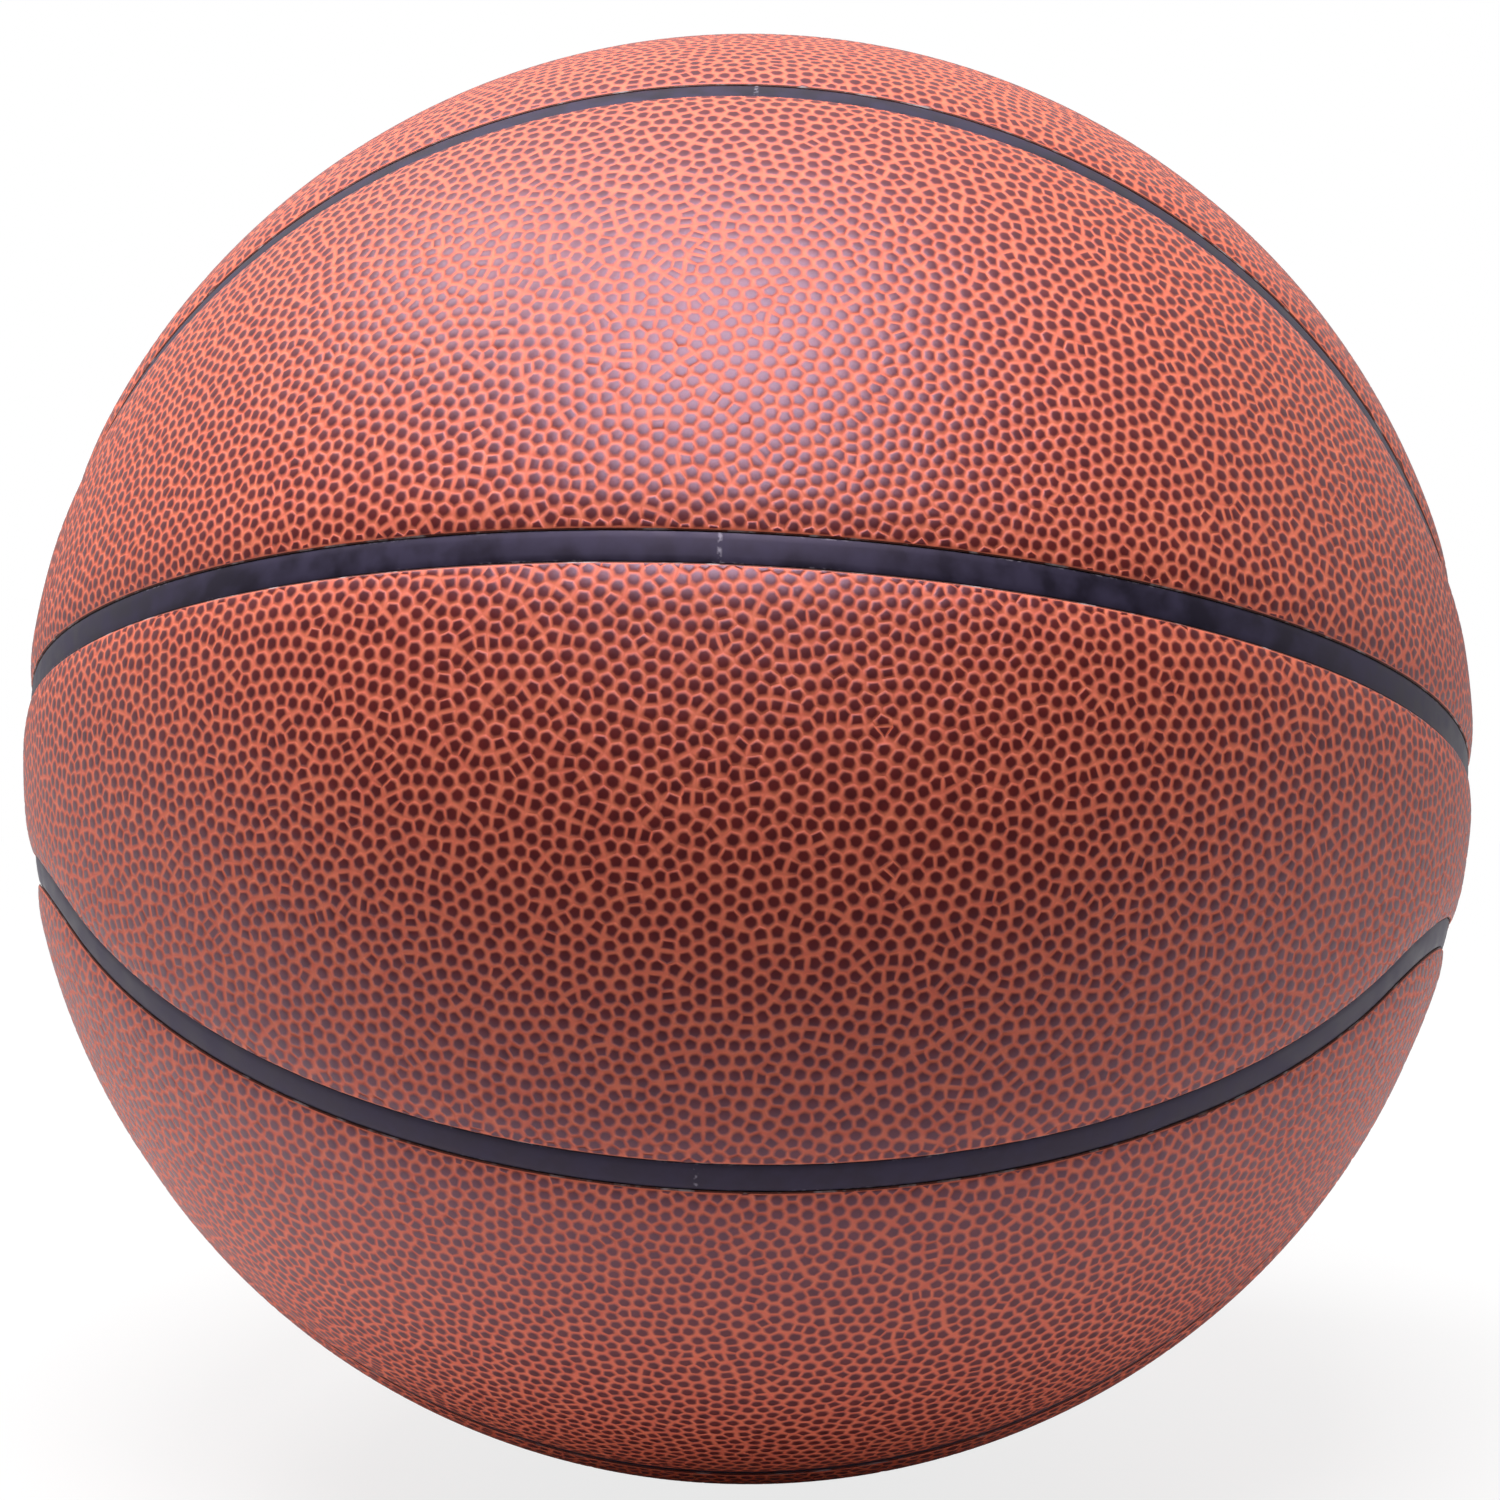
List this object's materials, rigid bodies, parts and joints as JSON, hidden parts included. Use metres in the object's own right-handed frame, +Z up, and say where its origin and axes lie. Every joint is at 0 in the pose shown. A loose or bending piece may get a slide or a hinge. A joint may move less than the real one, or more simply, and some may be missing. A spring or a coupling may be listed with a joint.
{
  "type": "basketball",
  "caption": "Inflated basketball: pebbled cover panels on sponge cushions between the black ribs of a rubber carcass, over a thread winding and a bladder with a needle valve.",
  "frame": {"origin": "centre of the ball", "axes": "+Z up and -Z through the point the ball rests on; +X to the right and +Y away, as seen from the front; the seams are turned as the ball was set down, leant back 25 degrees"},
  "size_m": [0.2404, 0.2406, 0.2406],
  "materials": {
    "cover_leather": "orange composite leather, embossed with pebbles, satin, darker on the pebbles' tops",
    "cushion_sponge": "foamed rubber, matt, open cut cells",
    "carcass_rubber": "black moulded rubber, satin on the channel ribs",
    "winding_thread": "nylon thread wound in every direction and set in latex",
    "bladder_butyl": "black butyl rubber, dusted matt",
    "valve_rubber": "black moulded rubber, matt"
  },
  "bodies": {
    "root": {"bladder": "bladder_butyl", "thread_winding": "winding_thread", "carcass": "carcass_rubber", "valve_body": "valve_rubber", "valve_core": "valve_rubber", "upper_front_band_panel": "cover_leather", "upper_front_crown_panel": "cover_leather", "upper_back_band_panel": "cover_leather", "upper_back_crown_panel": "cover_leather", "lower_front_band_panel": "cover_leather", "lower_front_crown_panel": "cover_leather", "lower_back_band_panel": "cover_leather", "lower_back_crown_panel": "cover_leather", "upper_front_band_cushion": "cushion_sponge", "upper_front_crown_cushion": "cushion_sponge", "upper_back_band_cushion": "cushion_sponge", "upper_back_crown_cushion": "cushion_sponge", "lower_front_band_cushion": "cushion_sponge", "lower_front_crown_cushion": "cushion_sponge", "lower_back_band_cushion": "cushion_sponge", "lower_back_crown_cushion": "cushion_sponge"}
  },
  "joints": []
}
